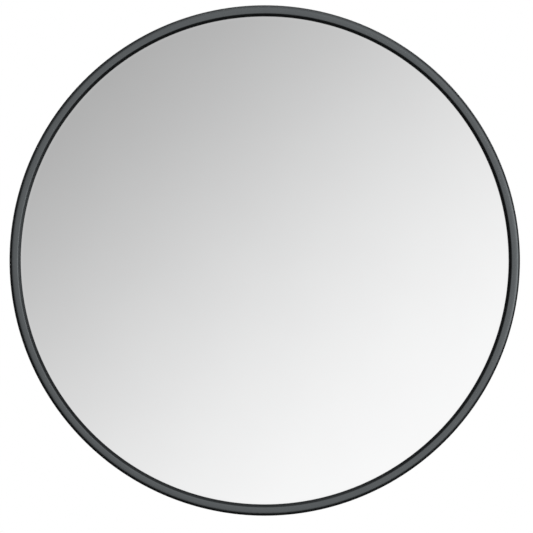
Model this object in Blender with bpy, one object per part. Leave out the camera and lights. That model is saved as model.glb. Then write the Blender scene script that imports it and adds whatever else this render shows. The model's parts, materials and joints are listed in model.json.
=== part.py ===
"""Convex security mirror on a telescopic wall arm, as an assembly of separate solids.

The wall plate carries a fork. The arm pans in that fork about an upright bolt, slides out to set its
length, and ends in a second fork where the mirror tilts about a level bolt. Star knobs clamp both
bolts and a thumbscrew clamps the slide.

Metres, +Z up. The origin is the centre of the wall plate's back face, and the mirror faces -Y.
Run with: blender --background --python part.py
"""

import math

import bmesh
import bpy
from mathutils import Matrix, Vector

MM = 0.001

# Driving dimensions: the mirror
TRIM_RADIUS = 230 * MM  # outside of the edge trim
VIEW_RADIUS = 220 * MM  # inner lip of the trim, where the mirror starts to show
DISC_RADIUS = 225 * MM  # edge of the lens flange and of the back cover
DOME_CURVATURE = 500 * MM  # radius of the sphere that the face is part of
DOME_EDGE = 219.8 * MM  # radius where that sphere meets the flange
LENS_WALL = 3 * MM
SEAL_WALL = 2.5 * MM
COVER_WALL = 2.5 * MM
COVER_DEPTH = 15 * MM  # from the cover's flange back to its central boss
CREST_HEIGHT = 2.6 * MM  # the trim's crest above the lens flange

# Driving dimensions: the arm
PAN_TO_TILT = 215 * MM  # between the two bolts with the arm closed
PIVOT_TO_BASE = 27 * MM  # from a fork's bolt to the face that its plate bears on
PLATE = 3 * MM
OUTER_TUBE_HALF = 12 * MM
OUTER_TUBE_WALL = 1.8 * MM
OUTER_TUBE_CORNER = 3 * MM
INNER_TUBE_HALF = 8.5 * MM
INNER_TUBE_WALL = 1.5 * MM
INNER_TUBE_CORNER = 2.5 * MM
EAR_INSIDE = 13 * MM  # from the middle of a fork to the inside of an ear
EAR_WALL = 3 * MM
KNUCKLE_HALF = 11 * MM
KNUCKLE_RADIUS = 12 * MM
SHOULDER = 18 * MM  # from a bolt to the shoulder that a tube's end meets
PLUG_LENGTH = 16 * MM
PLUG_CORNER = 2 * MM  # on everything that fits inside a tube
BOLT_RADIUS = 4 * MM
PIN_RADIUS = 2 * MM
PIN_STATION = 27 * MM  # from a bolt to the cross pin of its tube
LOCK_SHANK = 3 * MM  # radius of the thumbscrew
LOCK_BOSS = 8 * MM
LOCK_BOSS_RADIUS = 7 * MM
FLAT_WASHER_RADIUS = 8.5 * MM
HUB_RADIUS = 44 * MM
STIFFENER_RADIUS = 52 * MM
HUB_SCREW = 2.5 * MM  # radius
HUB_SCREW_CIRCLE = 32 * MM
RIB_RISE = 3 * MM
RIVET_OFFSET = 12 * MM  # from the middle of a fork's base
RIVET_SHANK = 2.5 * MM
RIVET_SINK = 4.2 * MM  # radius of the flush head
RIVET_SINK_DEPTH = 1.8 * MM

# Clearance between neighbouring solids
GAP = 0.3 * MM
BORE_RADIUS = BOLT_RADIUS + GAP

# Facets of a full turn
DISC_SEGMENTS = 64
PLATE_SEGMENTS = 40
EYE_SEGMENTS = 32
ROUND_SEGMENTS = 20
SMALL_SEGMENTS = 12
RIBS = 8

# Directions in the world
UP = Vector((0, 0, 1))
DOWN = -UP
BACK = Vector((0, 1, 0))
FRONT = -BACK
RIGHT = Vector((1, 0, 0))

# Stations along the mirror's own axis, forward of the tilt bolt
HUB_BACK = PIVOT_TO_BASE + GAP
HUB_FRONT = HUB_BACK + PLATE
BOSS_BACK = HUB_FRONT + GAP
BOSS_FRONT = BOSS_BACK + COVER_WALL
FLANGE_BACK = BOSS_BACK + COVER_DEPTH
FLANGE_FRONT = FLANGE_BACK + COVER_WALL
SEAL_BACK = FLANGE_FRONT + GAP
SEAL_FRONT = SEAL_BACK + SEAL_WALL
LENS_BACK = SEAL_FRONT + GAP
LENS_FRONT = LENS_BACK + LENS_WALL
SLOT_BACK = FLANGE_BACK - GAP
SLOT_FRONT = LENS_FRONT + GAP
STIFFENER_BACK = BOSS_FRONT + GAP
STIFFENER_FRONT = STIFFENER_BACK + 2 * MM

# Stations along a pivot's bolt, outward from the middle of its fork
EAR_OUTSIDE = EAR_INSIDE + EAR_WALL
WASHER_INSIDE = EAR_OUTSIDE + GAP
WASHER_OUTSIDE = WASHER_INSIDE + 1.6 * MM
HARDWARE_START = WASHER_OUTSIDE + GAP  # the bolt head on one side, the knob on the other

# Stations along the arm, forward of the pan bolt
OUTER_TUBE_START = SHOULDER + GAP
OUTER_TUBE_END = 162 * MM
INNER_TUBE_START = 45.7 * MM
LOCK_STATION = 136 * MM

PAN_POINT = FRONT * (PLATE + GAP + PIVOT_TO_BASE)
TILT_POINT = PAN_POINT + FRONT * PAN_TO_TILT


# ---------------------------------------------------------------- scene, materials and placing


def clear_scene():
    for old in list(bpy.data.objects):
        bpy.data.objects.remove(old)


def finish(name, colour, roughness, metallic=0.0):
    made = bpy.data.materials.new(name)
    made.use_nodes = True
    shader = made.node_tree.nodes["Principled BSDF"]
    shader.inputs["Base Color"].default_value = (*colour, 1.0)
    shader.inputs["Roughness"].default_value = roughness
    shader.inputs["Metallic"].default_value = metallic
    return made


def turn_to(along, across):
    """The rotation that points local Z along one direction and local X along another."""
    side = along.cross(across)
    return Matrix((across, side, along)).transposed().to_euler()


# Turns of a helper inside a part whose own axes are already along the piece
ALONG_X = turn_to(Vector((1, 0, 0)), Vector((0, 1, 0)))  # the helper's X and Y lie on local Y and Z
ALONG_Y = turn_to(Vector((0, -1, 0)), Vector((1, 0, 0)))  # the helper's X and Y lie on local X and Z


def frame_at(name, location):
    empty = bpy.data.objects.new(name, None)
    empty.location = location
    bpy.context.scene.collection.objects.link(empty)
    return empty


def place(bm, name, parent, location=(0, 0, 0), rotation=(0, 0, 0)):
    """A new object from the bmesh, with its normals facing out."""
    bmesh.ops.remove_doubles(bm, verts=bm.verts, dist=1e-6)
    bmesh.ops.recalc_face_normals(bm, faces=bm.faces)
    mesh = bpy.data.meshes.new(name)
    bm.to_mesh(mesh)
    bm.free()
    made = bpy.data.objects.new(name, mesh)
    made.parent = parent
    made.location = location
    made.rotation_euler = rotation
    bpy.context.scene.collection.objects.link(made)
    return made


def part(bm, name, material, parent, location=(0, 0, 0), rotation=(0, 0, 0)):
    """A finished sub-part: smooth where it is round, sharp at its edges."""
    made = place(bm, name, parent, location, rotation)
    made.data.materials.append(material)
    made.data.shade_smooth()
    made.data.set_sharp_from_angle(angle=math.radians(35))
    return made


def combine(target, bm, operation, location=(0, 0, 0), rotation=(0, 0, 0)):
    """A Boolean with a hidden helper that shares the target's own axes."""
    helper = place(bm, f"{target.name}_helper", target, location, rotation)
    helper.hide_render = True
    helper.display_type = "WIRE"
    modifier = target.modifiers.new(operation.title(), "BOOLEAN")
    modifier.operation = operation
    modifier.solver = "EXACT"
    modifier.object = helper


def cut(target, bm, location=(0, 0, 0), rotation=(0, 0, 0)):
    combine(target, bm, "DIFFERENCE", location, rotation)


def fuse(target, bm, location=(0, 0, 0), rotation=(0, 0, 0)):
    combine(target, bm, "UNION", location, rotation)


def bore(target, radius, low, high, location=(0, 0, 0), rotation=(0, 0, 0), segments=None):
    """A round hole from one station to another along the cutter's own Z."""
    cut(target, cylinder(radius, low, high, segments or SMALL_SEGMENTS), location, rotation)


# ---------------------------------------------------------------- outlines and solids


def arc(centre, radius, start, end, steps):
    """Points of an arc, in degrees, both ends included."""
    turns = (math.radians(start + (end - start) * i / steps) for i in range(steps + 1))
    return [(centre[0] + radius * math.cos(t), centre[1] + radius * math.sin(t)) for t in turns]


def polygon(radius, sides, start=0.0):
    turns = (math.radians(start + 360 * i / sides) for i in range(sides))
    return [(radius * math.cos(t), radius * math.sin(t)) for t in turns]


def rounded_box(half_x, half_y, corner, steps=3):
    points = []
    for quarter, (sx, sy) in enumerate(((1, 1), (-1, 1), (-1, -1), (1, -1))):
        centre = (sx * (half_x - corner), sy * (half_y - corner))
        points += arc(centre, corner, 90 * quarter, 90 * quarter + 90, steps)
    return points


def lobed(radius, depth, lobes, points):
    """A round outline that swells and narrows once for each lobe."""
    outline = []
    for i in range(points):
        turn = 2 * math.pi * i / points
        reach = radius - depth * (1 - math.cos(lobes * turn)) / 2
        outline.append((reach * math.cos(turn), reach * math.sin(turn)))
    return outline


def turned(profile, segments, ring=False):
    """A profile of (radius, height) points spun about Z. A ring's profile closes on itself."""
    bm = bmesh.new()
    points = [bm.verts.new((radius, 0, height)) for radius, height in profile]
    for first, second in zip(points, points[1:]):
        bm.edges.new((first, second))
    if ring:
        bm.edges.new((points[-1], points[0]))
    bmesh.ops.spin(
        bm, geom=bm.verts[:] + bm.edges[:], cent=(0, 0, 0), axis=(0, 0, 1),
        angle=2 * math.pi, steps=segments, use_merge=True, use_duplicate=False,
    )
    bmesh.ops.remove_doubles(bm, verts=bm.verts, dist=1e-6)
    bmesh.ops.dissolve_degenerate(bm, edges=bm.edges, dist=1e-7)
    return bm


def cylinder(radius, bottom, top, segments=ROUND_SEGMENTS):
    return turned([(0, bottom), (radius, bottom), (radius, top), (0, top)], segments)


def washer(inside, outside, bottom, top, segments=ROUND_SEGMENTS):
    profile = [(inside, bottom), (outside, bottom), (outside, top), (inside, top)]
    return turned(profile, segments, ring=True)


def stacked(outline, stations):
    """An outline extruded through (height, scale) stations and capped at both ends."""
    bm = bmesh.new()
    height, scale = stations[0]
    face = bm.faces.new([bm.verts.new((x * scale, y * scale, height)) for x, y in outline])
    inside = []
    for height, next_scale in stations[1:]:
        made = bmesh.ops.extrude_face_region(bm, geom=[face])["geom"]
        face = next(item for item in made if isinstance(item, bmesh.types.BMFace))
        inside.append(face)
        for vertex in face.verts:
            vertex.co.x *= next_scale / scale
            vertex.co.y *= next_scale / scale
            vertex.co.z = height
        scale = next_scale
    bmesh.ops.delete(bm, geom=inside[:-1], context="FACES_ONLY")
    return bm


def prism(outline, bottom, top):
    return stacked(outline, [(bottom, 1.0), (top, 1.0)])


# ---------------------------------------------------------------- pieces used at both pivots


def fork(name, parent, location, rotation):
    """A pressed U of steel strip. Its bolt lies along local X and its base is toward local +Z."""
    base_inside = PIVOT_TO_BASE - EAR_WALL
    bend, inner_bend = 4 * MM, 1 * MM
    half_width = 20 * MM
    tip_radius = 14 * MM
    tip = -tip_radius - 1 * MM
    taper_start = 17 * MM
    beyond = 2 * PIVOT_TO_BASE
    outside = [(-EAR_OUTSIDE, tip), (EAR_OUTSIDE, tip)]
    outside += arc((EAR_OUTSIDE - bend, PIVOT_TO_BASE - bend), bend, 0, 90, 4)
    outside += arc((bend - EAR_OUTSIDE, PIVOT_TO_BASE - bend), bend, 90, 180, 4)
    body = prism(outside, -half_width, half_width)
    body.transform(ALONG_Y.to_matrix().to_4x4())
    made = part(body, name, STEEL_BLACK, parent, location, rotation)
    channel = [(-EAR_INSIDE, 2 * tip), (EAR_INSIDE, 2 * tip)]
    channel += arc((EAR_INSIDE - inner_bend, base_inside - inner_bend), inner_bend, 0, 90, 2)
    channel += arc((inner_bend - EAR_INSIDE, base_inside - inner_bend), inner_bend, 90, 180, 2)
    cut(made, prism(channel, -beyond, beyond), rotation=ALONG_Y)
    # each ear narrows from the width of the base to a round tip about the bolt
    ear = [(half_width + 1 * MM, beyond), (-half_width - 1 * MM, beyond), (-half_width - 1 * MM, taper_start)]
    ear += arc((0, 0), tip_radius, 200, 340, 14)
    ear += [(half_width + 1 * MM, taper_start)]
    combine(made, prism(ear, -beyond, beyond), "INTERSECT", rotation=ALONG_X)
    bore(made, BORE_RADIUS, -beyond, beyond, rotation=ALONG_X, segments=ROUND_SEGMENTS)
    for side in (-1, 1):
        bore(made, RIVET_SHANK + GAP, 0, beyond, (0, side * RIVET_OFFSET, 0))
    return made


def rivet_seat():
    """The countersunk hole for a rivet, in a plate whose far face is at Z = 0."""
    shank = RIVET_SHANK + GAP
    sink = RIVET_SINK + GAP
    profile = [(0, -2 * PLATE), (shank, -2 * PLATE), (shank, -RIVET_SINK_DEPTH - GAP)]
    profile += [(sink, 0), (sink, PLATE), (0, PLATE)]
    return turned(profile, SMALL_SEGMENTS)


def rivet(name, parent, location, rotation):
    """A rivet with a domed head in the fork and a flush head just under the plate's far face at Z = 0."""
    flush = -0.2 * MM
    seat = -(PLATE + GAP + EAR_WALL + GAP)
    head = 4.5 * MM
    height = 2.2 * MM
    profile = [(0, seat - height), (head * 0.6, seat - height * 0.8), (head, seat - height * 0.2)]
    profile += [(head, seat), (RIVET_SHANK, seat), (RIVET_SHANK, -RIVET_SINK_DEPTH)]
    profile += [(RIVET_SINK, flush), (0, flush)]
    return part(turned(profile, SMALL_SEGMENTS), name, STEEL_ZINC, parent, location, rotation)


def knuckle(name, neck_half, plug_half, parent, rotation):
    """A cast eye about local X, with a neck and a plug for a square tube along local +Z."""
    reach = 2 * KNUCKLE_HALF
    eye = cylinder(KNUCKLE_RADIUS, -KNUCKLE_HALF, KNUCKLE_HALF, EYE_SEGMENTS)
    plug = prism(rounded_box(plug_half, plug_half, PLUG_CORNER), SHOULDER / 2, SHOULDER + PLUG_LENGTH)
    neck_corner = 1.5 * MM
    neck = prism(rounded_box(neck_half, neck_half, neck_corner, 2), 0, SHOULDER)
    made = part(neck, name, CAST_BLACK, parent, (0, 0, 0), rotation)
    fuse(made, eye, rotation=ALONG_X)
    fuse(made, plug)
    bore(made, BORE_RADIUS, -reach, reach, rotation=ALONG_X, segments=ROUND_SEGMENTS)
    bore(made, PIN_RADIUS + GAP, -reach, reach, (0, 0, PIN_STATION), ALONG_X)
    return made


def knuckle_pin(name, half_length, parent, location, rotation):
    """A spring pin across the tube and the knuckle's plug, along local Z."""
    chamfer = 0.4 * MM
    end = half_length - chamfer
    tip = PIN_RADIUS - chamfer
    profile = [(0, -half_length), (tip, -half_length), (PIN_RADIUS, -end), (PIN_RADIUS, end)]
    profile += [(tip, half_length), (0, half_length)]
    return part(turned(profile, SMALL_SEGMENTS), name, STEEL_ZINC, parent, location, rotation)


def pivot_hardware(prefix, fixed, washer_frame, grip_frame, toward, across):
    """Bolt, washers and star knob of one pivot. Local Z points to the knob's side of the fork."""
    rotation = turn_to(toward, across)
    pivot_bolt(f"{prefix}_bolt", fixed, rotation)
    flat = washer(BORE_RADIUS, FLAT_WASHER_RADIUS, -WASHER_OUTSIDE, -WASHER_INSIDE)
    part(flat, f"{prefix}_head_washer", STEEL_ZINC, fixed, (0, 0, 0), rotation)
    flat = washer(BORE_RADIUS, FLAT_WASHER_RADIUS, WASHER_INSIDE, WASHER_OUTSIDE)
    part(flat, f"{prefix}_knob_washer", STEEL_ZINC, washer_frame, (0, 0, 0), rotation)
    disc_radius = KNUCKLE_RADIUS - 0.5 * MM
    for number, side in enumerate((-1, 1), 1):
        low, high = sorted((side * (KNUCKLE_HALF + GAP), side * (EAR_INSIDE - GAP)))
        disc = washer(BORE_RADIUS, disc_radius, low, high)
        part(disc, f"{prefix}_friction_washer_{number}", NYLON, fixed, (0, 0, 0), rotation)
    star_knob(prefix, grip_frame, rotation)


def pivot_bolt(name, frame, rotation):
    """A hexagon-head bolt whose head bears on the far side of the fork."""
    across_corners = 7.5 * MM
    head_height = 5.3 * MM
    chamfer = 0.7 * MM
    shank_end = 32 * MM
    top = -(HARDWARE_START + head_height)
    head = stacked(polygon(across_corners, 6), [(top, 0.9), (top + chamfer, 1.0), (-HARDWARE_START, 1.0)])
    bolt = part(head, name, STEEL_ZINC, frame, (0, 0, 0), rotation)
    fuse(bolt, cylinder(BOLT_RADIUS, top + head_height / 2, shank_end))


def star_knob(prefix, frame, rotation):
    """A five-lobed grip moulded over a threaded bush."""
    bush_radius = 6 * MM
    bush_end = HARDWARE_START + 16 * MM
    bush = washer(BORE_RADIUS, bush_radius, HARDWARE_START, bush_end)
    part(bush, f"{prefix}_knob_insert", BRASS, frame, (0, 0, 0), rotation)

    collar_radius = 9.5 * MM
    reach, valley = 18 * MM, 4.4 * MM
    base = HARDWARE_START + 4 * MM
    top = HARDWARE_START + 20 * MM
    stations = [(base, 0.86), (base + 1.5 * MM, 0.97), (base + 3.5 * MM, 1.0), (top - 4.5 * MM, 1.0)]
    stations += [(top - 1.5 * MM, 0.93), (top, 0.74)]
    star = stacked(lobed(reach, valley, 5, 40), stations)
    grip = part(star, f"{prefix}_knob_grip", KNOB_BLACK, frame, (0, 0, 0), rotation)
    fuse(grip, cylinder(collar_radius, HARDWARE_START, base + 2 * MM))
    bore(grip, bush_radius + GAP, 0, bush_end + GAP, segments=ROUND_SEGMENTS)


# ---------------------------------------------------------------- the wall bracket


def wall_bracket(frame):
    half_x, half_z, corner = 45 * MM, 65 * MM, 12 * MM
    screw_x, screw_z = 32 * MM, 50 * MM
    screw_hole = 3.25 * MM
    rotation = turn_to(BACK, RIGHT)
    plate = prism(rounded_box(half_x, half_z, corner, 5), -PLATE, 0)
    plate = part(plate, "wall_plate", STEEL_BLACK, frame, (0, 0, 0), rotation)
    for x in (-screw_x, screw_x):
        for z in (-screw_z, screw_z):
            bore(plate, screw_hole, -2 * PLATE, PLATE, (x, z, 0))
    for number, side in enumerate((-1, 1), 1):
        cut(plate, rivet_seat(), (side * RIVET_OFFSET, 0, 0))
        rivet(f"wall_rivet_{number}", frame, (side * RIVET_OFFSET, 0, 0), rotation)
    fork("wall_clevis", frame, PAN_POINT, turn_to(BACK, UP))


# ---------------------------------------------------------------- the arm


def square_tube(name, half, wall, corner, start, end, material, frame, rotation):
    """A square tube along local Z."""
    outside = rounded_box(half, half, corner)
    made = part(prism(outside, start, end), name, material, frame, (0, 0, 0), rotation)
    hollow = rounded_box(half - wall, half - wall, corner - wall / 2)
    cut(made, prism(hollow, start - wall, end + wall))
    return made


def outer_arm(frame):
    """The fixed tube. Local X is upright, so its cross pin is parallel to the pan bolt."""
    rotation = turn_to(FRONT, UP)
    plug_half = OUTER_TUBE_HALF - OUTER_TUBE_WALL - GAP
    reach = 2 * OUTER_TUBE_HALF
    tube = square_tube(
        "outer_tube", OUTER_TUBE_HALF, OUTER_TUBE_WALL, OUTER_TUBE_CORNER,
        OUTER_TUBE_START, OUTER_TUBE_END, STEEL_BLACK, frame, rotation,
    )
    bore(tube, PIN_RADIUS + GAP, -reach, reach, (0, 0, PIN_STATION), ALONG_X)
    bore(tube, LOCK_SHANK + GAP, 0, reach, (0, 0, LOCK_STATION), ALONG_Y)
    knuckle("pan_knuckle", KNUCKLE_HALF, plug_half, frame, rotation)
    knuckle_pin("pan_knuckle_pin", OUTER_TUBE_HALF - GAP, frame, FRONT * PIN_STATION, turn_to(UP, RIGHT))
    tube_collar(plug_half, frame, rotation)
    seat = OUTER_TUBE_HALF + GAP
    boss = washer(LOCK_SHANK + GAP, LOCK_BOSS_RADIUS, seat, seat + LOCK_BOSS)
    part(boss, "lock_boss", STEEL_BLACK, frame, FRONT * LOCK_STATION, turn_to(RIGHT, BACK))


def tube_collar(plug_half, frame, rotation):
    """A flanged sleeve in the mouth of the outer tube that guides the inner one."""
    sleeve_length = 15 * MM
    flange = 3 * MM
    start = OUTER_TUBE_END + GAP
    rim = stacked(rounded_box(OUTER_TUBE_HALF, OUTER_TUBE_HALF, OUTER_TUBE_CORNER), [
        (start, 1.0), (start + flange * 0.7, 1.0), (start + flange, 0.93),
    ])
    collar = part(rim, "tube_collar", PLASTIC_BLACK, frame, (0, 0, 0), rotation)
    sleeve = rounded_box(plug_half, plug_half, PLUG_CORNER)
    fuse(collar, prism(sleeve, OUTER_TUBE_END - sleeve_length, start + flange / 2))
    opening = rounded_box(INNER_TUBE_HALF + GAP, INNER_TUBE_HALF + GAP, INNER_TUBE_CORNER)
    cut(collar, prism(opening, OUTER_TUBE_END - 2 * sleeve_length, OUTER_TUBE_END + sleeve_length))


def length_lock(pad_frame, screw_frame):
    """The thumbscrew on the arm's right side. Local Z points out of the tube."""
    rotation = turn_to(RIGHT, BACK)
    pad_start = INNER_TUBE_HALF + GAP
    pad_end = pad_start + 2 * MM
    pad = cylinder(LOCK_SHANK, pad_start, pad_end, SMALL_SEGMENTS)
    part(pad, "lock_pad", NYLON, pad_frame, (0, 0, 0), rotation)

    tip = pad_end + GAP
    chamfer = 0.6 * MM
    grip_start = OUTER_TUBE_HALF + GAP + LOCK_BOSS + 2 * GAP
    grip_top = grip_start + 12.5 * MM
    shank_end = grip_top - 4 * MM
    profile = [(0, tip), (LOCK_SHANK - chamfer, tip), (LOCK_SHANK, tip + chamfer)]
    profile += [(LOCK_SHANK, shank_end), (0, shank_end)]
    part(turned(profile, SMALL_SEGMENTS), "lock_screw", STEEL_ZINC, screw_frame, (0, 0, 0), rotation)

    collar_radius = 6.5 * MM
    reach, flute = 11 * MM, 1.6 * MM
    shoulder = grip_start + 3 * MM
    head = stacked(lobed(reach, flute, 12, 48), [
        (shoulder, 0.9), (shoulder + 1 * MM, 1.0), (grip_top - 1.5 * MM, 1.0), (grip_top, 0.88),
    ])
    grip = part(head, "lock_knob_grip", KNOB_BLACK, screw_frame, (0, 0, 0), rotation)
    fuse(grip, cylinder(collar_radius, grip_start, shoulder + 1 * MM))
    bore(grip, LOCK_SHANK + GAP, 0, shank_end + GAP)


def inner_arm(frame):
    """The sliding tube. The frame is on the tilt bolt, and local Z runs back along the arm."""
    rotation = turn_to(BACK, RIGHT)
    plug_half = INNER_TUBE_HALF - INNER_TUBE_WALL - GAP
    reach = 2 * INNER_TUBE_HALF
    front = SHOULDER + GAP
    back = PAN_TO_TILT - INNER_TUBE_START
    tube = square_tube(
        "inner_tube", INNER_TUBE_HALF, INNER_TUBE_WALL, INNER_TUBE_CORNER,
        front, back, STEEL_PLATED, frame, rotation,
    )
    bore(tube, PIN_RADIUS + GAP, -reach, reach, (0, 0, PIN_STATION), ALONG_X)
    knuckle("tilt_knuckle", INNER_TUBE_HALF, plug_half, frame, rotation)
    knuckle_pin("tilt_knuckle_pin", INNER_TUBE_HALF - GAP, frame, BACK * PIN_STATION, turn_to(RIGHT, BACK))

    head_half = OUTER_TUBE_HALF - OUTER_TUBE_WALL - GAP
    head_length = 6 * MM
    stem_length = 12 * MM
    head = prism(rounded_box(head_half, head_half, PLUG_CORNER), back + GAP, back + GAP + head_length)
    glide = part(head, "tube_glide", NYLON, frame, (0, 0, 0), rotation)
    stem = rounded_box(plug_half, plug_half, PLUG_CORNER)
    fuse(glide, prism(stem, back - stem_length, back + head_length / 2))


# ---------------------------------------------------------------- the mirror head


def cover_rows():
    """(radius, station of the back surface, share of the rib's rise) from the edge to the boss."""
    shelf = FLANGE_BACK - 7 * MM
    root = BOSS_BACK + RIB_RISE
    return [
        (DISC_RADIUS, FLANGE_BACK, 0),
        (214 * MM, FLANGE_BACK, 0),
        (209 * MM, shelf, 0),
        (202 * MM, shelf - 0.5 * MM, 0),
        (196 * MM, shelf - 0.8 * MM, 1),
        (84 * MM, root, 1),
        (78 * MM, root, 0),
        (64 * MM, root, 0),
        (60 * MM, BOSS_BACK, 0),
    ]


def cover_columns():
    """(angle, share of a rib's rise) round the cover, closer together at each rib's flanks."""
    pitch = 360 / RIBS
    crown, foot = 2.2, 3.8
    between = [foot + (pitch - 2 * foot) * i / 5 for i in range(1, 5)]
    offsets = [(-foot, 0), (-crown, 1), (crown, 1), (foot, 0)] + [(a, 0) for a in between]
    starts = [pitch / 2 + rib * pitch for rib in range(RIBS)]
    return [(math.radians(start + a), share) for start in starts for a, share in offsets]


def back_cover(frame, rotation):
    """A thin moulded shell. Its inside follows its outside, so the ribs are hollow."""
    bm = bmesh.new()
    columns = cover_columns()
    skins = []
    for depth in (0, COVER_WALL):
        skin = []
        for radius, station, rise in cover_rows():
            ring = []
            for angle, share in columns:
                height = station + depth - RIB_RISE * rise * share
                ring.append(bm.verts.new((radius * math.cos(angle), radius * math.sin(angle), height)))
            skin.append(ring)
        skins.append(skin)
    loops = list(reversed(skins[0])) + skins[1]
    count = len(columns)
    for near, far in zip(loops, loops[1:]):
        for i in range(count):
            j = (i + 1) % count
            bm.faces.new((near[i], near[j], far[j], far[i]))
    bm.faces.new(loops[0])
    bm.faces.new(loops[-1])
    cover = part(bm, "back_cover", PLASTIC_BLACK, frame, (0, 0, 0), rotation)
    for x, y in hub_screw_places():
        bore(cover, HUB_SCREW + GAP, 0, FLANGE_FRONT, (x, y, 0))
    vent_circle, vent_radius = 188 * MM, 2.5 * MM
    for offset in (-9, 0, 9):
        turn = math.radians(270 + offset)
        vent = (vent_circle * math.cos(turn), vent_circle * math.sin(turn), 0)
        bore(cover, vent_radius, 0, FLANGE_FRONT, vent, segments=12)


def hub_screw_places():
    return polygon(HUB_SCREW_CIRCLE, 4, 45)


def mirror_lens(frame, rotation):
    """A spherical cap with a flat flange, the same thickness all over."""
    centre = LENS_FRONT - math.sqrt(DOME_CURVATURE**2 - DOME_EDGE**2)
    steps = 6
    blend = 0.6 * MM
    widest = math.asin((DOME_EDGE - blend) / DOME_CURVATURE)
    turns = [widest * i / steps for i in range(steps + 1)]
    inner = DOME_CURVATURE - LENS_WALL
    front = [(DOME_CURVATURE * math.sin(t), centre + DOME_CURVATURE * math.cos(t)) for t in turns]
    back = [(inner * math.sin(t), centre + inner * math.cos(t)) for t in turns]
    profile = front + [(DOME_EDGE + blend / 2, LENS_FRONT), (DISC_RADIUS, LENS_FRONT)]
    profile += [(DISC_RADIUS, LENS_BACK), (DOME_EDGE, LENS_BACK)] + list(reversed(back))
    part(turned(profile, DISC_SEGMENTS), "mirror_lens", MIRROR, frame, (0, 0, 0), rotation)


def rim_trim(frame, rotation):
    """The U-section trim: a narrow flat crest between a sloped inner lip and a bull-nosed outer edge."""
    crest = SLOT_FRONT + CREST_HEIGHT
    slot_radius = DISC_RADIUS + 0.6 * MM
    back = SLOT_BACK - 2.5 * MM
    inner_round, outer_round, back_round = 1.6 * MM, 5.2 * MM, 1.5 * MM
    crest_inner = VIEW_RADIUS + 3.2 * MM
    profile = [(VIEW_RADIUS, SLOT_FRONT), (VIEW_RADIUS + 0.2 * MM, SLOT_FRONT + 0.5 * MM)]
    profile += arc((crest_inner, crest - inner_round), inner_round, 150, 90, 3)
    profile += arc((TRIM_RADIUS - outer_round, crest - outer_round), outer_round, 90, 0, 5)
    profile += arc((TRIM_RADIUS - back_round, back + back_round), back_round, 0, -90, 2)
    lip = 216.5 * MM
    profile += [(lip + 1 * MM, back), (lip, back + 1 * MM), (lip, SLOT_BACK)]
    profile += [(slot_radius, SLOT_BACK), (slot_radius, SLOT_FRONT)]
    trim = turned(profile, DISC_SEGMENTS, ring=True)
    part(trim, "rim_trim", TRIM_GREY, frame, (0, 0, 0), rotation)


def mirror_head(frame):
    rotation = turn_to(FRONT, RIGHT)
    mirror_lens(frame, rotation)
    rim_trim(frame, rotation)
    seal = washer(DOME_EDGE, DISC_RADIUS - 0.6 * MM, SEAL_BACK, SEAL_FRONT, DISC_SEGMENTS)
    part(seal, "edge_seal", FOAM, frame, (0, 0, 0), rotation)
    back_cover(frame, rotation)

    plate = cylinder(STIFFENER_RADIUS, STIFFENER_BACK, STIFFENER_FRONT, PLATE_SEGMENTS)
    stiffener = part(plate, "stiffener_plate", STEEL_ZINC, frame, (0, 0, 0), rotation)
    hub = cylinder(HUB_RADIUS, HUB_BACK, HUB_FRONT, PLATE_SEGMENTS)
    hub = part(hub, "hub_plate", STEEL_BLACK, frame, (0, 0, 0), rotation)
    for x, y in hub_screw_places():
        for plate in (stiffener, hub):
            bore(plate, HUB_SCREW + GAP, 0, FLANGE_FRONT, (x, y, 0))
    for number, side in enumerate((-1, 1), 1):
        cut(hub, rivet_seat(), (0, side * RIVET_OFFSET, HUB_FRONT))
        place_at = FRONT * HUB_FRONT + UP * side * RIVET_OFFSET
        rivet(f"head_rivet_{number}", frame, place_at, rotation)
    fork("head_clevis", frame, (0, 0, 0), turn_to(FRONT, RIGHT))
    hub_fasteners(frame, rotation)


def hub_fasteners(frame, rotation):
    """Pan-head screws from behind, each through a lock washer into a clinch nut inside."""
    head, height = 4.75 * MM, 3.2 * MM
    washer_back = HUB_BACK - GAP - 1 * MM
    under_head = washer_back - GAP
    nut_back = STIFFENER_FRONT + GAP
    nut_front = nut_back + 4 * MM
    tip = nut_front + 1.5 * MM
    top = under_head - height
    profile = [(0, top), (head * 0.55, top), (head * 0.9, top + height * 0.25), (head, top + height * 0.6)]
    profile += [(head, under_head), (HUB_SCREW, under_head), (HUB_SCREW, tip - 0.8 * MM)]
    profile += [(HUB_SCREW * 0.75, tip), (0, tip)]
    for number, (x, y) in enumerate(hub_screw_places(), 1):
        place_at = RIGHT * x + UP * y
        screw = turned(profile, SMALL_SEGMENTS)
        screw = part(screw, f"hub_screw_{number}", STEEL_ZINC, frame, place_at, rotation)
        cut(screw, prism(polygon(1.75 * MM, 6), top - 1 * MM, top + 2 * MM))
        ring = washer(HUB_SCREW + GAP, 4.6 * MM, washer_back, washer_back + 1 * MM, SMALL_SEGMENTS)
        part(ring, f"hub_lock_washer_{number}", STEEL_ZINC, frame, place_at, rotation)
        nut = prism(polygon(4.6 * MM, 6), nut_back, nut_front)
        nut = part(nut, f"clinch_nut_{number}", STEEL_ZINC, frame, place_at, rotation)
        bore(nut, HUB_SCREW + GAP, 0, FLANGE_FRONT)


# ---------------------------------------------------------------- assembly

clear_scene()

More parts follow.
